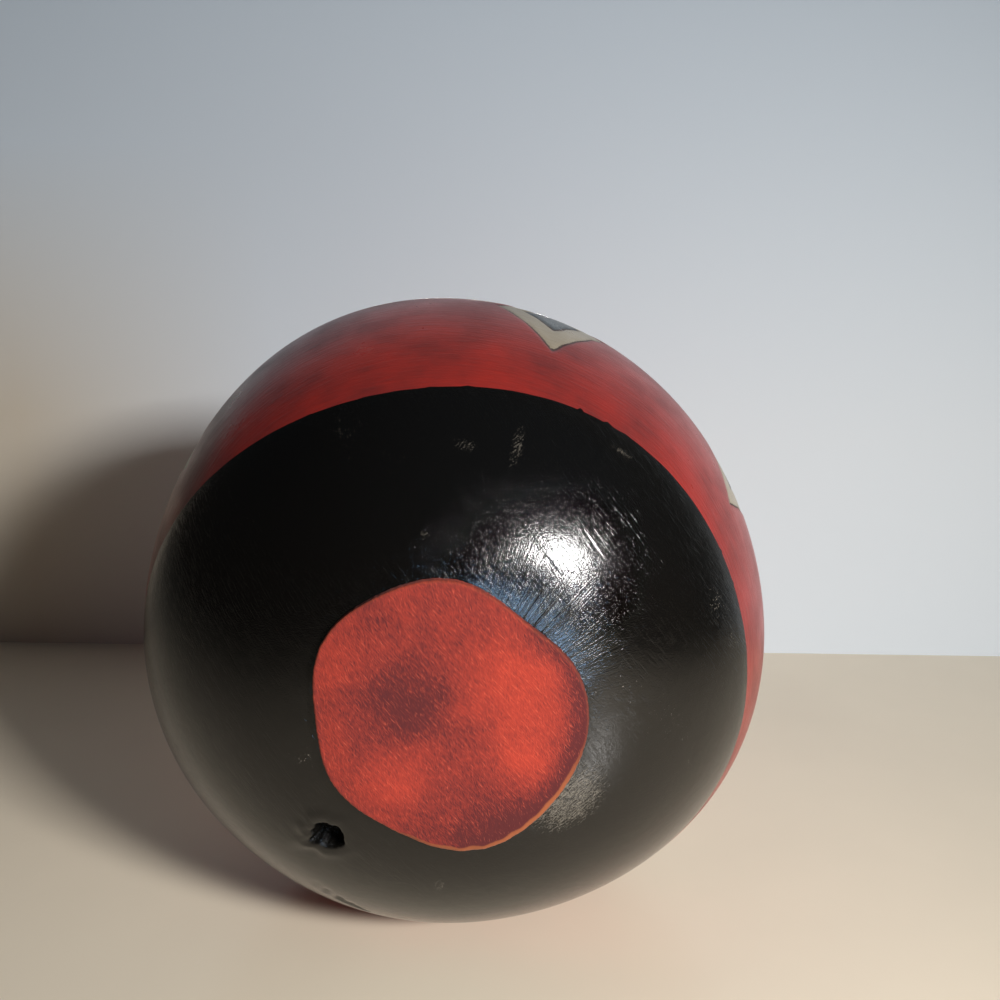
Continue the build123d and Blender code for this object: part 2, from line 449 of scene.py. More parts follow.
def streaks(tree, place, size, turn=0, detail=1.0, roughness=0.5):
    """Noise drawn out to a size in metres along each axis, then turned about Y by an angle in degrees."""
    lane = add(tree, "Mapping", {
        "Vector": place, "Rotation": (0.0, math.radians(turn), 0.0), "Scale": size,
    }, vector_type="TEXTURE")
    return add(tree, "TexNoise", {"Vector": lane, "Scale": 1.0, "Detail": detail, "Roughness": roughness})


def lacquer_material(s, centre):
    """Black lacquer brushed over the rind: deep gloss that breaks up over leathery wrinkles and orange peel.

    Scratches run aslant and brush hairs run out from the pad. Dust specks look grey, and grey patches are a painted
    reflection of the lit table and painted glints; in the pit a matt black shader is painted shade.
    """
    material, tree, place = new_material("black_lacquer_brushed")
    swell = add(tree, "TexNoise", {"Vector": place, "Scale": per(9 * MM), "Detail": 2.0})
    wrinkles = add(tree, "TexNoise", {"Vector": place, "Scale": per(3.2 * MM), "Detail": 2.0})
    # Real brush grit is finer than this; it is drawn at 0.36 mm so that it shows
    peel = add(tree, "TexNoise", {"Vector": place, "Scale": per(0.36 * MM), "Detail": 2.0})
    # Hairline scratches, and the streaks in the painted sheen, are drawn coarser than real so that they show
    lines = streaks(tree, place, (5 * MM, 5 * MM, 0.26 * MM), turn=54)
    scratches = add(tree, "MapRange", {"Value": lines, "From Min": 0.55, "From Max": 0.7})
    sheen_streaks = streaks(tree, place, (1.8 * MM, 1.8 * MM, 0.35 * MM), turn=-42)
    offset = add(tree, "VectorMath", {0: place, 1: centre}, operation="SUBTRACT")
    sides = add(tree, "SeparateXYZ", {0: offset})
    bearing = add(tree, "Math", {0: sides.outputs["Z"], 1: sides.outputs["X"]}, operation="ARCTAN2")
    hairs_per_radian = 95.0
    rays = add(tree, "TexNoise", {"W": bearing, "Scale": hairs_per_radian, "Detail": 1.0}, noise_dimensions="1D")
    level = add(tree, "VectorMath", {0: offset, 1: (1.0, 0.0, 1.0)}, operation="MULTIPLY")
    reach = add(tree, "VectorMath", {0: level}, operation="LENGTH")
    # The hairs show close to the pad, on the side where the brush was lifted
    near = add(tree, "MapRange", {
        "Value": reach, "From Min": 39 * MM, "From Max": 50 * MM, "To Min": 1.0, "To Max": 0.0,
    })
    apart = add(tree, "Math", {0: bearing, 1: math.radians(45)}, operation="SUBTRACT")
    last_side = add(tree, "MapRange", {
        "Value": add(tree, "Math", {0: apart}, operation="ABSOLUTE"),
        "From Min": 0.4, "From Max": 0.7, "To Min": 1.0, "To Max": 0.0,
    })
    masked = add(tree, "Math", {0: last_side, 1: near}, operation="MULTIPLY")
    hairs = add(tree, "Math", {0: rays, 1: masked}, operation="MULTIPLY")
    pit = add(tree, "Attribute", attribute_name="pit").outputs["Fac"]
    crumbs = add(tree, "Math", {0: peel, 1: pit}, operation="MULTIPLY")
    grit = add(tree, "MapRange", {"Value": peel, "From Min": 0.58, "From Max": 0.85})
    heights = [
        (swell, 0.08 * MM), (wrinkles, 0.03 * MM), (peel, 0.046 * MM), (grit, 0.022 * MM),
        (scratches, -0.02 * MM), (hairs, 0.12 * MM), (crumbs, 0.35 * MM),
    ]
    for across, up, turn, half_length in LONG_SCRATCHES:
        lane = add(tree, "Mapping", {
            "Vector": offset, "Location": (across, 0.0, up), "Rotation": (0.0, math.radians(turn), 0.0),
            "Scale": (half_length, 1.0, SCRATCH_WIDTH),
        }, vector_type="TEXTURE")
        off_line = add(tree, "VectorMath", {0: lane}, operation="LENGTH")
        groove = add(tree, "MapRange", {"Value": off_line, "From Min": 1.0, "From Max": 0.0})
        heights.append((groove, -SCRATCH_DEPTH))
    height = 0.0
    for source, depth in heights:
        height = add(tree, "Math", {0: source, 1: depth, 2: height}, operation="MULTIPLY_ADD")
    cluster = add(tree, "TexNoise", {"Vector": place, "Scale": per(26 * MM), "Detail": 2.0})
    specks = add(tree, "MapRange", {
        "Value": add(tree, "Math", {0: peel, 1: cluster}, operation="ADD"), "From Min": 1.39, "From Max": 1.44,
    }, interpolation_type="SMOOTHSTEP")
    # Painted sheen: grey patches that stand in for a reflection of the lit table and for glints of drips
    sheen_mask = add(tree, "Attribute", attribute_name="dust_and_sheen").outputs["Fac"]
    scuffs = add(tree, "Math", {0: peel, 1: sheen_streaks}, operation="ADD")
    # Worn and scuffs here are the streaky texture of the painted sheen patches
    worn = add(tree, "MapRange", {
        "Value": add(tree, "Math", {0: sheen_mask, 1: 0.5, 2: scuffs}, operation="MULTIPLY_ADD"),
        "From Min": 1.2, "From Max": 1.75, "To Max": 0.36,
    })
    near_sheen = add(tree, "Math", {0: sheen_mask, 1: 4.0}, operation="MULTIPLY", use_clamp=True)
    dust_and_sheen = add(tree, "Math", {0: worn, 1: near_sheen, 2: specks}, operation="MULTIPLY_ADD", use_clamp=True)
    tint = add(tree, "Mix", {0: dust_and_sheen, 6: s.lacquer_colour, 7: s.dust_and_sheen_colour}, data_type="RGBA")
    gloss = add(tree, "MapRange", {
        "Value": swell, "From Min": 0.3, "From Max": 0.7, "To Min": 0.09, "To Max": 0.13,
    })
    rough = add(tree, "Math", {0: pit, 1: 0.12, 2: gloss}, operation="MULTIPLY_ADD")
    relief = add(tree, "Bump", {"Height": height, "Distance": 1.0, "Strength": 1.0})
    shader = add(tree, "BsdfPrincipled", {"Base Color": tint, "Roughness": rough, "IOR": 1.5, "Normal": relief})
    # Painted shade: in the pit a matt black shader stands in for the shade of the deep hole, and little of the gloss
    # shows through it
    matt = add(tree, "BsdfDiffuse", {"Color": s.lacquer_colour})
    glints = add(tree, "MapRange", {
        "Value": peel, "From Min": 0.56, "From Max": 0.66, "To Min": 0.97, "To Max": 0.0,
    })
    pit_shade_share = add(tree, "Math", {0: pit, 1: glints}, operation="MULTIPLY")
    mixed = add(tree, "MixShader", {0: pit_shade_share, 1: shader, 2: matt})
    add(tree, "OutputMaterial", {"Surface": mixed})
    return material


def dyed_rind_material(s):
    """Rind dyed red and waxed: fine streaks round the body, sunken dye, and carved fields scraped pale."""
    material, tree, place = new_material("gourd_rind_dyed_and_waxed")
    lines = streaks(tree, place, (9 * MM, 0.8 * MM, 9 * MM), detail=3.0, roughness=0.6)
    blotches = add(tree, "TexNoise", {"Vector": place, "Scale": per(20 * MM), "Detail": 5.0, "Roughness": 0.6})
    grain = add(tree, "TexNoise", {"Vector": place, "Scale": per(0.7 * MM), "Detail": 2.0})
    sunk = add(tree, "Math", {0: lines, 1: 0.45, 2: blotches}, operation="MULTIPLY_ADD")
    depth = add(tree, "MapRange", {"Value": sunk, "From Min": 0.55, "From Max": 1.05})
    dye = add(tree, "Mix", {0: depth, 6: s.dye_colour, 7: s.dye_dark_colour}, data_type="RGBA")
    # Pores look dark and scuffs pale; both are about half a millimetre across and lie in loose clusters
    flecks = add(tree, "Math", {0: grain, 1: blotches}, operation="ADD")
    for start, end, paint in ((1.36, 1.44, s.burnt_colour), (0.64, 0.56, s.scuff_colour)):
        share = add(tree, "MapRange", {"Value": flecks, "From Min": start, "From Max": end, "To Max": 0.7})
        dye = add(tree, "Mix", {0: share, 6: dye, 7: paint}, data_type="RGBA")
    ragged_edge = 0.25 * MM
    ragged = add(tree, "MapRange", {
        "Value": grain, "From Min": 0.2, "From Max": 0.8, "To Min": -ragged_edge, "To Max": ragged_edge,
    })
    tint = dye
    half_groove = s.groove_width / 2
    for name, paint in (("lozenge", s.field_colour), ("core", s.core_colour)):
        inside = add(tree, "Math", {
            0: add(tree, "Attribute", attribute_name=name).outputs["Fac"], 1: ragged,
        }, operation="ADD")
        # A burnt line runs along the groove, and the field is scraped inside it
        line = add(tree, "MapRange", {"Value": inside, "From Min": -half_groove, "From Max": -half_groove / 2})
        field = add(tree, "MapRange", {"Value": inside, "From Min": half_groove / 2, "From Max": half_groove})
        shade = add(tree, "Mix", {0: depth, 6: paint, 7: [0.72 * value for value in paint]}, data_type="RGBA")
        burnt = add(tree, "Mix", {0: line, 6: tint, 7: s.burnt_colour}, data_type="RGBA")
        tint = add(tree, "Mix", {0: field, 6: burnt, 7: shade}, data_type="RGBA")
    rough = add(tree, "MapRange", {
        "Value": blotches, "From Min": 0.3, "From Max": 0.7, "To Min": 0.26, "To Max": 0.42,
    })
    fibre = add(tree, "Bump", {"Height": lines, "Distance": 0.12 * MM, "Strength": 1.0})
    pores = add(tree, "Bump", {"Height": grain, "Distance": 0.05 * MM, "Strength": 1.0, "Normal": fibre})
    shader = add(tree, "BsdfPrincipled", {"Base Color": tint, "Roughness": rough, "IOR": 1.6, "Normal": pores})
    add(tree, "OutputMaterial", {"Surface": shader})
    return material


def mottled_material(name, light, dark, size, bump, roughness, stretch=(1, 1, 1)):
    """Dry natural stuff: two colours mixed by noise of one size, stretched along an axis, with matching bump."""
    material, tree, place = new_material(name)
    noise = streaks(tree, place, [size * factor for factor in stretch], detail=5.0, roughness=0.6)
    share = add(tree, "MapRange", {"Value": noise, "From Min": 0.35, "From Max": 0.68})
    tint = add(tree, "Mix", {0: share, 6: light, 7: dark}, data_type="RGBA")
    relief = add(tree, "Bump", {"Height": noise, "Distance": bump, "Strength": 1.0})
    shader = add(tree, "BsdfPrincipled", {"Base Color": tint, "Roughness": roughness, "Normal": relief})
    add(tree, "OutputMaterial", {"Surface": shader})
    return material


def suede_material(s):
    """Split leather, dyed and brushed: matt nap that is light where it stands up and dark where it lies flat."""
    material, tree, place = new_material("suede_dyed_and_brushed")
    # Real fibres are about 0.05 mm thick; they are drawn at 0.2 mm so that they show
    lying = streaks(tree, place, (2.2 * MM, 2.2 * MM, 0.22 * MM), turn=50, detail=2.0)
    crossing = streaks(tree, place, (1.6 * MM, 1.6 * MM, 0.2 * MM), turn=76, detail=2.0)
    fibres = add(tree, "Math", {0: lying, 1: crossing}, operation="MAXIMUM")
    patches = add(tree, "TexNoise", {"Vector": place, "Scale": per(17 * MM), "Detail": 3.0, "Roughness": 0.55})
    brush = add(tree, "Attribute", attribute_name="brush").outputs["Fac"]
    stroked = add(tree, "Math", {0: patches, 1: 1.1, 2: brush}, operation="MULTIPLY_ADD")
    nap = add(tree, "Math", {0: fibres, 1: 2.0, 2: stroked}, operation="MULTIPLY_ADD")
    share = add(tree, "MapRange", {"Value": nap, "From Min": 1.23, "From Max": 2.33})
    plain = add(tree, "Mix", {0: share, 6: s.brushed_colour, 7: s.nap_colour}, data_type="RGBA")
    # Painted highlight: single fibres are drawn paler where they would catch the light
    fibre_glints = add(tree, "MapRange", {"Value": fibres, "From Min": 0.65, "From Max": 0.8, "To Max": 0.45})
    brushed = add(tree, "Mix", {0: fibre_glints, 6: plain, 7: s.fibre_glint_colour}, data_type="RGBA")
    # Raw leather of the cut rim, partly the real cut edge and partly a painted highlight that is full only at the
    # lower right
    edge = add(tree, "Attribute", attribute_name="cut_edge_and_highlight").outputs["Fac"]
    tint = add(tree, "Mix", {0: edge, 6: brushed, 7: s.edge_colour}, data_type="RGBA")
    relief = add(tree, "Bump", {"Height": fibres, "Distance": 0.1 * MM, "Strength": 1.0})
    shader = add(tree, "BsdfPrincipled", {
        "Base Color": tint, "Roughness": 0.85, "IOR": 1.4, "Normal": relief,
        "Sheen Weight": 0.04, "Sheen Roughness": 0.4,
    })
    add(tree, "OutputMaterial", {"Surface": shader})
    return material


def stem_material(s):
    """Dried stem: woody skin, pale on the ribs, dark in the furrows, and straw-coloured where it is cut."""
    material, tree, place = new_material("gourd_stem_dried")
    fibres = streaks(tree, place, (0.9 * MM, 9 * MM, 0.9 * MM), detail=4.0, roughness=0.6)
    furrow = add(tree, "Math", {
        0: add(tree, "Attribute", attribute_name="furrow").outputs["Fac"], 1: fibres,
    }, operation="ADD")
    share = add(tree, "MapRange", {"Value": furrow, "From Min": 0.45, "From Max": 1.2})
    skin = add(tree, "Mix", {0: share, 6: s.bark_colour, 7: s.furrow_colour}, data_type="RGBA")
    cut = add(tree, "Attribute", attribute_name="cut_end").outputs["Fac"]
    straw = add(tree, "Mix", {0: fibres, 6: s.cut_colour, 7: s.bark_colour}, data_type="RGBA")
    tint = add(tree, "Mix", {0: cut, 6: skin, 7: straw}, data_type="RGBA")
    relief = add(tree, "Bump", {"Height": fibres, "Distance": 0.25 * MM, "Strength": 1.0})
    shader = add(tree, "BsdfPrincipled", {"Base Color": tint, "Roughness": 0.75, "IOR": 1.45, "Normal": relief})
    add(tree, "OutputMaterial", {"Surface": shader})
    return material


class GOURD_OT_rind(bpy.types.Operator):
    """Build the rind: lacquered base, dyed body with carved lozenges, and the wall of the hollow"""

    bl_idname = "gourd.rind"
    bl_label = "Rind"

    def relief(self, s, rind, arc, angle, above):
        """Height over the plain surface, and the masks that the materials read.

        Above is the distance over the lacquer's edge. The height adds shallow swells, the pit with its puckered
        rim, creases, the lacquer's thickness, carved grooves of bell-shaped section and slightly sunk fields.
        The pit's reach is a sum of cosines of the bearing from its middle, with a bell-shaped tail on one side.
        The masks are the depths inside the lozenges and their cores, the pit, and the places of painted sheen.
        """
        around = s.body_radius * angle
        height = SWELL_HEIGHT * ripple(around, arc, wavelength=34 * MM, count=7, seed=5)
        aside, along = rind.local(arc, angle, *PIT_PLACE)
        bearing = np.arctan2(along, aside)
        ragged = 0.97 + 0.1 * np.cos(bearing + 1.22) + 0.05 * np.cos(5 * bearing + 1) + 0.03 * np.cos(9 * bearing + 2)
        ragged = ragged + 0.5 * bell(wrapped(bearing - 1.8), 0.22)
        out = np.hypot(aside, along) / (PIT_RADIUS * ragged)
        floor_bumps = 1 + 0.1 * ripple(aside, along, wavelength=2.4 * MM, count=6, seed=12)
        pit = smooth(-out, -1.03, -0.62)
        height -= PIT_DEPTH * floor_bumps * pit
        height += PIT_RIM * bell(out - 1.45, 0.42) * (1 + 0.5 * np.cos(bearing - 2.6))
        for latitude, middle, half in CREASES:
            aside, along = rind.local(arc, angle, latitude, middle)
            within = smooth(-np.abs(aside), -half, -0.6 * half)
            height -= CREASE_DEPTH * within * bell(along - CREASE_SLOPE * aside, CREASE_WIDTH)
        # Painted sheen: weights of the grey patches drawn as a reflection of the lit table and as glints
        dust_and_sheen = np.zeros(above.shape)
        for latitude, middle, half_width, half_height, weight in PAINTED_SHEEN_PLACES:
            aside, along = rind.local(arc, angle, latitude, middle)
            within = smooth(-np.hypot(aside / half_width, along / half_height), -1, -0.3)
            dust_and_sheen = np.maximum(dust_and_sheen, weight * within)
        height += LACQUER_THICKNESS * smooth(-above, 0, 1.5 * MM)
        lozenge = np.full(above.shape, -1.0)
        wide, tall = s.lozenge_half_width, s.lozenge_half_height
        # Distance from the middle of a lozenge to its sides
        scale = wide * tall / math.hypot(wide, tall)
        reach = rind.profile(rind.latitude(arc))[0]
        tremor = 0.5 * MM * ripple(around, arc, wavelength=11 * MM, count=6, seed=14)
        for middle in LOZENGE_ANGLES:
            aside = np.abs(reach * wrapped(angle - middle)) / wide
            along = np.abs(above - s.lozenge_distance) / tall
            lozenge = np.maximum(lozenge, scale * (1 - aside - along) + tremor)
        core = lozenge - 0.5 * scale
        height -= s.groove_depth * (bell(lozenge, s.groove_width / 2) + 0.8 * bell(core, s.groove_width / 2))
        height -= FIELD_DEPTH * smooth(lozenge, 0, s.groove_width)
        return height, {"lozenge": lozenge, "core": core, "pit": smooth(-out, -1.06, -0.9), "dust_and_sheen": dust_and_sheen}

    def execute(self, context):
        s = context.scene.gourd_rind
        rind = Rind(s)
        half_turn = (s.lozenge_half_width + 4 * MM) / s.body_radius

        def column_weight(angle):
            """Closer columns over each lozenge, and over the pit and creases."""
            lozenges = sum(np.abs(wrapped(angle - middle)) < half_turn for middle in LOZENGE_ANGLES)
            flaws = np.abs(wrapped(angle - FLAW_ANGLE)) < FLAW_REACH
            return 1 + 2.0 * lozenges + 2.0 * flaws

        def base_weight(share):
            """Closer rows over the pit and over the creases, by their share of the way to the lacquer's edge."""
            pit, creases = np.abs(share - 0.25) < 0.11, np.abs(share - 0.74) < 0.08
            return 1 + 5 * pit + 2 * creases

        band = s.lozenge_distance + s.lozenge_half_height + 4 * MM

        def body_weight(above):
            """Closer rows over the band of lozenges."""
            low = s.lozenge_distance - s.lozenge_half_height - 3 * MM
            return 1 + 2.6 * ((above > low) & (above < band))

        angle = spread(0, 2 * np.pi, RIND_COLUMNS + 1, column_weight)[:-1]
        edge = rind.lacquer_arc(angle)
        base_share = spread(0, 1, BASE_ROWS, base_weight)[:, None]
        base_arc = base_share * edge
        # Up to the top of the lozenges a row keeps its distance from the lacquer's edge; the rest close in on the stem
        last = rind.arcs[-1]
        reach = 200 * MM
        above = spread(0.2 * MM, reach, BODY_ROWS, body_weight)[:, None]
        beyond = band + (above - band) / (reach - band) * (last - edge - band)
        body_arc = edge + np.where(above <= band, above, beyond)
        arc = np.concatenate([base_arc, body_arc])
        above = np.concatenate([base_arc - edge, body_arc - edge])
        above[len(base_arc) - 1] = 0
        height, masks = self.relief(s, rind, arc, angle, above)
        grid = rind.place(arc, angle) + height[..., None] * rind.normal(arc, angle)
        grid[..., 2] = np.maximum(grid[..., 2], 0)
        quads, fans = tube_faces(*arc.shape)

        inner_arc = np.linspace(0, last, INNER_ROWS)[:, None]
        inner_angle = np.linspace(0, 2 * np.pi, INNER_COLUMNS + 1)[:-1]
        inner = rind.place(inner_arc, inner_angle) - s.wall * rind.normal(inner_arc, inner_angle)
        inner_quads, inner_fans = tube_faces(INNER_ROWS, INNER_COLUMNS)
        outside = with_poles(grid)
        inside = with_poles(inner)
        offset = len(outside)
        faces = quads.tolist() + fans.tolist()
        faces += (inner_quads[:, ::-1] + offset).tolist() + (inner_fans[:, ::-1] + offset).tolist()

        columns = arc.shape[1]
        is_body = np.arange(len(quads)) // columns >= len(base_arc)
        slots = np.concatenate([
            is_body.astype(int),
            np.repeat([0, 1], columns),
            np.full(len(inner_quads) + len(inner_fans), 2),
        ])
        materials = [
            lacquer_material(s, rind.centre.tolist()),
            dyed_rind_material(s),
            # Bare wall of the hollow: dull straw with streaks along the axis
            mottled_material(
                "gourd_wall_bare", s.flesh_colour, [0.55 * value for value in s.flesh_colour],
                size=3 * MM, bump=0.2 * MM, roughness=0.85, stretch=(1, 4, 1),
            ),
        ]
        piece = make_piece(context, "rind", np.concatenate([outside, inside]), faces, materials, "gourd_shell")
        piece.data.polygons.foreach_set("material_index", slots)
        for name, mask in masks.items():
            store(piece, name, mask, np.full(len(inside) + 2, mask.min()))
        return {"FINISHED"}


class GOURD_OT_pad(bpy.types.Operator):
    """Build the suede disc that is glued on the base"""

    bl_idname = "gourd.pad"
    bl_label = "Base pad"

    def execute(self, context):
        s = context.scene.gourd_pad
        rind = Rind(context.scene.gourd_rind)
        angle = np.linspace(0, 2 * np.pi, PAD_COLUMNS + 1)[:-1]
        cosine, sine = np.cos(angle), np.sin(angle)
        nibbles = 0.16 * MM * ripple(cosine, sine, wavelength=0.055, count=8, seed=21)
        outline = s.radius + waves(PAD_WAVES, angle) + nibbles
        # The rim is pared widest where the knife came out, at the lower right
        pared = smooth(np.cos(angle - math.radians(295)), 0.5, 0.97)
        uneven = 1 + 0.35 * ripple(cosine, sine, wavelength=0.2, count=6, seed=23)
        bevel = s.bevel * (1 + 2.4 * pared) * uneven
        drop = 0.75 * bevel
        # Path of one radius: out over the face from the middle, round the rim, then in over the back
        face_end, back_end = 34.6 * MM, 34 * MM
        share = np.linspace(1, 0.012, FACE_ROWS)[:, None]
        turn = np.linspace(np.pi / 2, 0, RIM_ROWS)[:, None]
        side = s.thickness - drop
        side_shares = np.array([[0.67], [0.33]])
        inset = np.concatenate([
            bevel + share * (face_end - bevel), bevel * (1 - np.cos(turn)), 0 * side_shares * bevel,
            np.linspace(0, back_end, BACK_ROWS)[:, None] + 0 * bevel,
        ])
        lift = s.glue + np.concatenate([
            np.full((FACE_ROWS, PAD_COLUMNS), s.thickness), side + drop * np.sin(turn),
            side * side_shares, np.zeros((BACK_ROWS, PAD_COLUMNS)),
        ])
        reach = outline * (1 - inset / s.radius)
        across, height = reach * cosine, reach * sine
        on_face = smooth(inset, bevel, bevel + 1.4 * MM) * (lift > s.glue + s.thickness - 0.01 * MM)
        tufts = ripple(across, height, wavelength=1.7 * MM, count=12, seed=31)
        hollows = ripple(across, height, wavelength=13 * MM, count=7, seed=32)
        lift = lift - on_face * (0.1 * MM + 0.08 * MM * (tufts + hollows))
        depth = np.where(
            lift > s.glue + s.thickness / 2,
            rind.over_base(reach, angle, s.glue + s.thickness) + s.glue + s.thickness - lift,
            rind.over_base(reach, angle, s.glue) + s.glue - lift,
        )
        grid = np.stack(np.broadcast_arrays(across, depth, height), -1) + rind.centre * [1, 0, 1]
        quads, fans = tube_faces(*across.shape)
        piece = make_piece(
            context, "suede_pad", with_poles(grid), quads.tolist() + fans.tolist(), [suede_material(s)],
            "base_pad",
        )
        # Cut rim colour: real raw edge, faint round most of the rim, with a painted highlight at the lower right where
        # the edge catches the light
        edge = (1 - smooth(inset, 0.7 * bevel, bevel)) * (lift > s.glue) * (0.15 + 0.85 * pared)
        store(piece, "cut_edge_and_highlight", edge, [0, 0])
        brush = sum(share * bell(np.hypot(across - x, height - z), size) for x, z, size, share in NAP_PLACES)
        # The nap lies flat along the rim on the right
        brush = brush - 0.65 * bell(inset, 5.5 * MM) * smooth(np.cos(angle + math.radians(12)), 0.1, 0.7)
        store(piece, "brush", brush, [0, 0])
        piece.data.set_sharp_from_angle(angle=SHARP_ANGLE)
        return {"FINISHED"}


class GOURD_OT_stem(bpy.types.Operator):
    """Build the dried stem with its ribs, furrows and cut end"""

    bl_idname = "gourd.stem"
    bl_label = "Stem"

    def execute(self, context):
        s = context.scene.gourd_stem
        body = context.scene.gourd_rind
        rind = Rind(body)
        seat = rind.centre + [0, body.shoulder_height + body.neck_rise, 0]
        along = np.concatenate([np.linspace(0, 1, STEM_ROWS), np.ones(STEM_END_ROWS)])[:, None]
        draw_in = np.concatenate([np.zeros(STEM_ROWS), np.linspace(0.06, 0.97, STEM_END_ROWS)])[:, None]
        turn = np.linspace(0, 2 * np.pi, STEM_COLUMNS + 1)[:-1]
        # Radius: a waist that widens to the tip, a bell-shaped foot, and cosine ribs that turn along the stem
        radius = s.waist_radius + (s.tip_radius - s.waist_radius) * along ** 2
        radius = radius + (s.foot_radius - s.rib_height - s.waist_radius) * bell(s.length * along, s.flare_length)
        phase = turn - s.twist * along
        ribs = np.cos(s.ribs * phase)
        ring = 6.2 * MM
        fibres = ripple(ring * np.cos(phase), ring * np.sin(phase), wavelength=1.5 * MM, count=10, seed=41)
        radius = radius + s.rib_height * ribs + 0.16 * MM * fibres * smooth(along, 0, 0.05)
        radius = radius * (1 - draw_in)
        # Middle line: an arc of a circle that turns up from the gourd's axis
        lean = s.lean * along
        bend = s.length / s.lean
        sideways, upwards = radius * np.cos(turn), radius * np.sin(turn)
        end = draw_in > 0
        pith = np.where(end, -0.7 * MM * smooth(draw_in, 0.1, 0.9) + 0.12 * MM * fibres, 0)
        forth = bend * np.sin(lean) + pith * np.cos(lean)
        rise = bend * (1 - np.cos(lean)) + pith * np.sin(lean)
        grid = np.stack(np.broadcast_arrays(
            sideways, forth - upwards * np.sin(lean), rise + upwards * np.cos(lean),
        ), -1) + seat
        quads, fans = tube_faces(*sideways.shape)
        piece = make_piece(
            context, "dried_stem", with_poles(grid), quads.tolist() + fans.tolist(), [stem_material(s)], "stem"
        )
        store(piece, "furrow", np.broadcast_to(0.5 - 0.5 * ribs, sideways.shape), [0.5, 0.5])
        store(piece, "cut_end", np.broadcast_to(end, sideways.shape), [0, 1])
        piece.data.set_sharp_from_angle(angle=SHARP_ANGLE)
        return {"FINISHED"}


class GOURD_OT_filling(bpy.types.Operator):
    """Give the glue, the seeds and the dried pulp their finishes"""

    bl_idname = "gourd.filling"
    bl_label = "Glue, seeds and pulp"

    def execute(self, context):
        s = context.scene.gourd_filling
        finishes = {
            # Dried contact glue: amber, smooth and a little milky
            "pad_adhesive": mottled_material(
                "contact_glue_dried", s.glue_colour, [0.6 * value for value in s.glue_colour],
                size=4 * MM, bump=0.05 * MM, roughness=0.35,
            ),
            # Dry seed coats: dull tan with brown stains
            "seeds": mottled_material(
                "gourd_seed_coat_dry", s.seed_colour, s.seed_dark_colour,
                size=2.5 * MM, bump=0.1 * MM, roughness=0.7,
            ),
            # Dried pulp: papery, pale and creased
            "dried_pulp": mottled_material(
                "gourd_pulp_dried", s.pulp_colour, s.pulp_dark_colour,
                size=3 * MM, bump=0.6 * MM, roughness=0.9, stretch=(1, 2.5, 1),
            ),
        }
        for name, material in finishes.items():
            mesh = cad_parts[name].data
            mesh.materials.clear()
            mesh.materials.append(material)
        return {"FINISHED"}


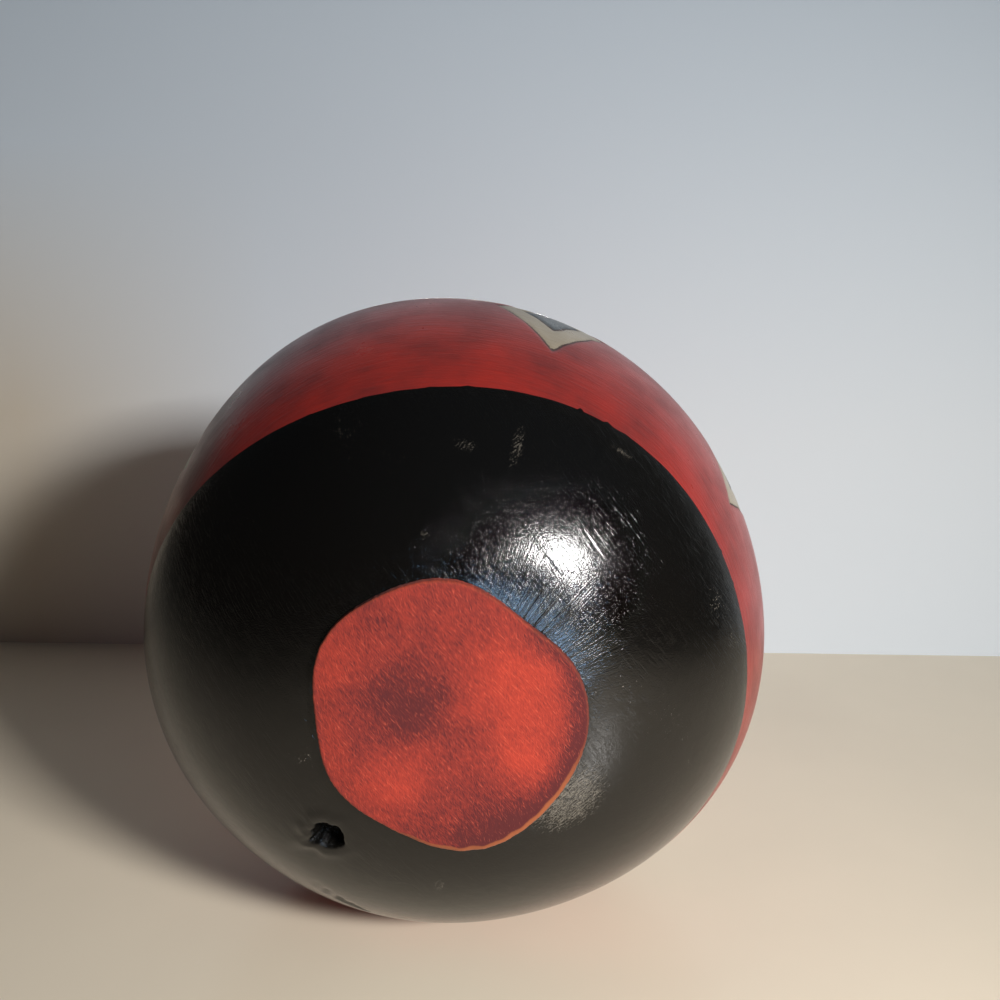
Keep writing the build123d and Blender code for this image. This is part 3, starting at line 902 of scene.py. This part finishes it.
class GOURD_OT_stage(bpy.types.Operator):
    """Set up the floor, the wall, the light and the camera"""

    bl_idname = "gourd.stage"
    bl_label = "Stage"

    def backdrop(self, context, name, corners, material):
        """Flat four-cornered part of the stage."""
        mesh = bpy.data.meshes.new(name)
        mesh.from_pydata(corners, [], [(0, 1, 2, 3)])
        mesh.materials.append(material)
        plane = bpy.data.objects.new(name, mesh)
        context.collection.objects.link(plane)

    def floor_material(self, s):
        """Table top with a worn satin finish: pale, faintly mottled, with a dull reflection."""
        material, tree, place = new_material("stage_floor_satin")
        mottle = add(tree, "TexNoise", {"Vector": place, "Scale": per(140 * MM), "Detail": 4.0})
        share = add(tree, "MapRange", {"Value": mottle, "From Min": 0.3, "From Max": 0.7})
        tint = add(tree, "Mix", {
            0: share, 6: s.floor_colour, 7: [0.93 * value for value in s.floor_colour],
        }, data_type="RGBA")
        shader = add(tree, "BsdfPrincipled", {"Base Color": tint, "Roughness": 0.26, "IOR": 1.45})
        add(tree, "OutputMaterial", {"Surface": shader})
        return material

    def wall_material(self, s):
        """Matt wall paint with painted light, cooler high up as if lit by the sky and warmer low on the left as if in
        warm lamplight; the back of the wall is clear.
        """
        material, tree, place = new_material("stage_wall_matt")
        sides = add(tree, "SeparateXYZ", {0: place})
        high = add(tree, "MapRange", {"Value": sides.outputs["Z"], "From Min": 0.12, "From Max": 0.34})
        left = add(tree, "MapRange", {"Value": sides.outputs["X"], "From Min": -0.1, "From Max": -0.24})
        low = add(tree, "MapRange", {"Value": sides.outputs["Z"], "From Min": 0.27, "From Max": 0.13})
        warm = add(tree, "Math", {0: left, 1: low}, operation="MULTIPLY")
        cool = add(tree, "Mix", {0: high, 6: s.wall_colour, 7: s.wall_painted_skylight_colour}, data_type="RGBA")
        tint = add(tree, "Mix", {0: warm, 6: cool, 7: s.wall_painted_lamplight_colour}, data_type="RGBA")
        paint = add(tree, "BsdfPrincipled", {"Base Color": tint, "Roughness": 0.9, "IOR": 1.3})
        clear = add(tree, "BsdfTransparent")
        side = add(tree, "NewGeometry").outputs["Backfacing"]
        shader = add(tree, "MixShader", {0: side, 1: paint, 2: clear})
        add(tree, "OutputMaterial", {"Surface": shader})
        return material

    def lamp(self, context, name, place, target, size, watts, tint, diffuse, lit):
        """Oblong area lamp that points at a target and fades towards the sides.

        Diffuse says if it lights matt things. Lit is the one collection that it lights and that casts its shadows,
        or None where it lights everything.
        """
        light = bpy.data.lights.new(name, "AREA")
        light.shape = "RECTANGLE"
        light.size, light.size_y = size
        light.spread = math.radians(90)
        light.energy = watts
        light.color = tint
        lamp = bpy.data.objects.new(name, light)
        lamp.location = place
        lamp.rotation_euler = (target - place).to_track_quat("-Z", "Y").to_euler()
        lamp.visible_camera = False
        lamp.visible_diffuse = diffuse
        lamp.light_linking.receiver_collection = lit
        lamp.light_linking.blocker_collection = lit
        context.collection.objects.link(lamp)

    def execute(self, context):
        scene = context.scene
        s = scene.gourd_stage
        wide, tall, ground = 3.0, 1.6, -0.0002
        self.backdrop(context, "floor", [
            (-wide, -wide, ground), (wide, -wide, ground), (wide, wide, ground), (-wide, wide, ground),
        ], self.floor_material(s))
        # The wall ends just outside the camera's view on the left, where the room is dark
        near = -0.33
        left = s.wall_place + near * math.tan(s.wall_turn)
        right = s.wall_place + wide * math.tan(s.wall_turn)
        self.backdrop(context, "wall", [
            (near, left, ground), (wide, right, ground), (wide, right, tall), (near, left, tall),
        ], self.wall_material(s))
        # Places of the lamps are seen from the gourd's middle, with azimuths from the camera's side towards +X
        middle = Vector((0.0, -0.03, 0.1))
        gourd = bpy.data.collections.new("gourd_alone")
        for name in ("rind", "suede_pad", "dried_stem"):
            gourd.objects.link(scene.objects[name])
        table = Vector((0.06, -0.18, 0.0))
        white, blue, warm = (1.0, 0.98, 0.96), (0.4, 0.66, 1.0), (1.0, 0.94, 0.88)
        for name, azimuth, elevation, distance, aim, size, watts, tint, diffuse, lit in (
            ("window_light", 34, 21.5, 0.95, table, (0.17, 0.11), s.key_power, white, True, None),
            ("sill_light", 15, -2, 1.2, middle, (0.34, 0.09), s.sill_power, blue, False, gourd),
            ("back_light", 181, 2, 1.2, middle, (0.3, 0.16), s.back_power, warm, True, gourd),
        ):
            azimuth, elevation = math.radians(azimuth), math.radians(elevation)
            level = distance * math.cos(elevation)
            step = (level * math.sin(azimuth), -level * math.cos(azimuth), distance * math.sin(elevation))
            self.lamp(context, name, middle + Vector(step), aim, size, watts, tint, diffuse, lit)

        world = bpy.data.worlds.new("soft_room_light")
        world.use_nodes = True
        tree = world.node_tree
        tree.nodes.clear()
        sides = add(tree, "SeparateXYZ", {0: add(tree, "TexCoord").outputs["Generated"]})
        share = add(tree, "MapRange", {"Value": sides.outputs["Z"], "From Min": 0.0, "From Max": 0.7})
        # Less of it comes from the left, away from the window
        strength = add(tree, "MapRange", {
            "Value": sides.outputs["X"], "From Min": -0.6, "From Max": 0.6,
            "To Min": 0.4 * s.fill, "To Max": 1.4 * s.fill,
        })
        low_tint, high_tint = (1.0, 0.85, 0.7), (0.6, 0.8, 1.0)
        tint = add(tree, "Mix", {0: share, 6: low_tint, 7: high_tint}, data_type="RGBA")
        sky = add(tree, "Background", {"Color": tint, "Strength": strength})
        add(tree, "OutputWorld", {"Surface": sky})
        scene.world = world
        scene.view_settings.view_transform = "Standard"

        camera_data = bpy.data.cameras.new("photo_camera")
        camera_data.lens = CAMERA_LENS
        camera_data.sensor_width = 36.0
        camera_data.clip_start = 0.01
        camera = bpy.data.objects.new("photo_camera", camera_data)
        camera.location = CAMERA_PLACE
        camera.rotation_euler = (math.radians(90 + CAMERA_TILT), 0.0, math.radians(CAMERA_TURN))
        context.collection.objects.link(camera)
        scene.camera = camera
        return {"FINISHED"}


class GOURD_PT_panel(bpy.types.Panel):
    """Operators and settings of the gourd"""

    bl_idname = "GOURD_PT_panel"
    bl_label = "Carved gourd"
    bl_space_type = "VIEW_3D"
    bl_region_type = "UI"
    bl_category = "Gourd"

    def draw(self, context):
        for operator, (attribute, settings) in zip(OPERATORS, SETTINGS.items()):
            box = self.layout.box()
            box.operator(operator.bl_idname)
            for name in settings.__annotations__:
                box.prop(getattr(context.scene, attribute), name)


OPERATORS = (GOURD_OT_rind, GOURD_OT_pad, GOURD_OT_stem, GOURD_OT_filling, GOURD_OT_stage)
SETTINGS = {
    "gourd_rind": GourdRindSettings,
    "gourd_pad": GourdPadSettings,
    "gourd_stem": GourdStemSettings,
    "gourd_filling": GourdFillingSettings,
    "gourd_stage": GourdStageSettings,
}


def register():
    """Make the settings, operators and panel known."""
    for item in (*SETTINGS.values(), *OPERATORS, GOURD_PT_panel):
        bpy.utils.register_class(item)
    for name, settings in SETTINGS.items():
        setattr(bpy.types.Scene, name, PointerProperty(type=settings))


def unregister():
    """Take them all away again."""
    for name in SETTINGS:
        delattr(bpy.types.Scene, name)
    for item in (GOURD_PT_panel, *reversed(OPERATORS), *reversed(SETTINGS.values())):
        bpy.utils.unregister_class(item)


def main():
    """Register, then build every piece and the stage."""
    register()
    bpy.ops.gourd.rind()
    bpy.ops.gourd.pad()
    bpy.ops.gourd.stem()
    bpy.ops.gourd.filling()
    bpy.ops.gourd.stage()


if __name__ == "__main__":
    main()
